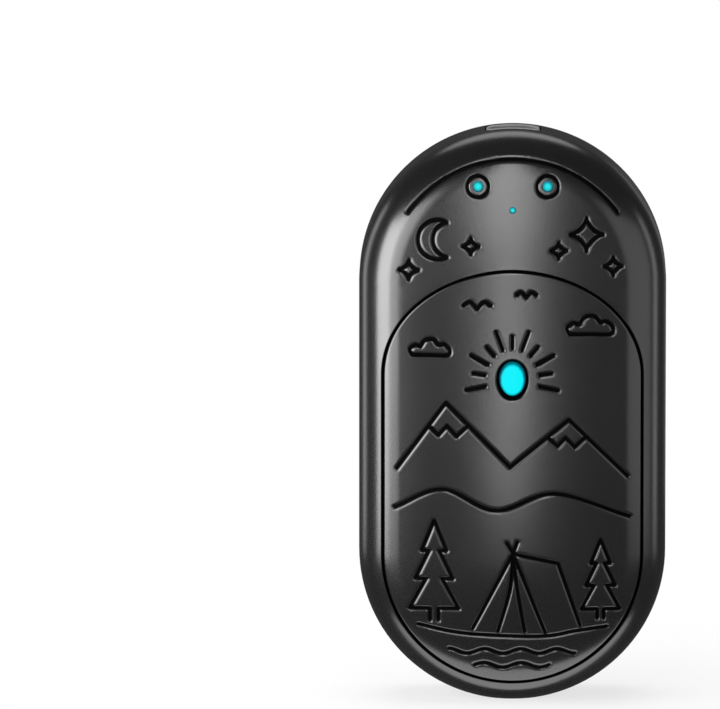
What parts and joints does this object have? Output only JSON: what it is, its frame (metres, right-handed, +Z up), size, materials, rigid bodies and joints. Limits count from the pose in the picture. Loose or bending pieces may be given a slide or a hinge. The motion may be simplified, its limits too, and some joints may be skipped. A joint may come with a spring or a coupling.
{
  "type": "hand warmer",
  "caption": "Pocket hand warmer: pebble-shaped snap-together case, inset heating panel with a lit push button, lit windows, and a charging port in its top.",
  "frame": {"origin": "middle of the flat foot at the bottom of the case, half way through its depth", "axes": "+Z up along the case, +Y out of its flat back, so the heating panel faces -Y, +X to the panel's right"},
  "size_m": [0.0576, 0.024, 0.108],
  "materials": {
    "case_plastic": "soft-touch satin black, fine grain",
    "panel_coating": "satin black coating on aluminium",
    "button_cyan": "translucent cyan, lit from behind",
    "window_cyan": "clear acrylic, lit cyan from behind",
    "bezel_grey": "dark grey, semi-gloss",
    "port_steel": "stamped, bright",
    "port_core": "black moulded insulator",
    "contact_gold": "gold plated",
    "board_green": "green solder mask",
    "film_amber": "amber polyimide with printed tracks",
    "glue_black": "black adhesive foam tape",
    "pad_foam": "grey closed-cell foam",
    "cell_foil": "laminated foil pouch",
    "tray_plastic": "moulded dark grey",
    "shroud_black": "black moulded rubber",
    "chip_black": "moulded package",
    "ferrite_grey": "pressed ferrite",
    "capacitor_tan": "fired ceramic",
    "lamp_white": "moulded lamp package",
    "connector_white": "off-white nylon",
    "wire_red": "silicone insulation",
    "wire_black": "silicone insulation",
    "wire_white": "silicone insulation",
    "sensor_black": "epoxy bead",
    "ribbon_white": "laminated flat cable",
    "screw_steel": "zinc plated"
  },
  "bodies": {
    "case": {"front_shell": "case_plastic", "back_shell": "case_plastic", "front_heat_panel": "panel_coating", "panel_adhesive": "glue_black", "front_heater_film": "film_amber", "back_heater_film": "film_amber", "insulating_pad": "pad_foam", "thermistor": "sensor_black", "thermistor_leads": "wire_white", "battery_cell": "cell_foil", "battery_protection_board": "board_green", "battery_tray": "tray_plastic", "battery_socket": "connector_white", "battery_plug": "connector_white", "battery_lead_red": "wire_red", "battery_lead_black": "wire_black", "main_board": "board_green", "charge_controller": "chip_black", "microcontroller": "chip_black", "power_inductor": "ferrite_grey", "heater_transistors": "chip_black", "board_capacitors": "capacitor_tan", "status_leds": "lamp_white", "light_shroud": "shroud_black", "light_pipe_left": "window_cyan", "light_pipe_right": "window_cyan", "indicator_light_pipe": "window_cyan", "usb_bezel": "bezel_grey", "usb_port_shell": "port_steel", "usb_port_tongue": "port_core", "usb_port_contacts": "contact_gold", "tact_switch_body": "chip_black", "button_board": "board_green", "board_ribbon": "ribbon_white", "front_heater_leads": "wire_white", "back_heater_leads": "wire_white", "main_board_screws": "screw_steel", "tray_screws": "screw_steel", "button_board_screws": "screw_steel"},
    "button": {"power_button": "button_cyan", "tact_switch_plunger": "chip_black"}
  },
  "joints": [
    {"name": "button_press", "type": "slide", "parent": "case", "child": "button", "axis": [0, 1, 0], "range_m": [0, 0.0004], "stiffness_N_per_m": 800}
  ]
}
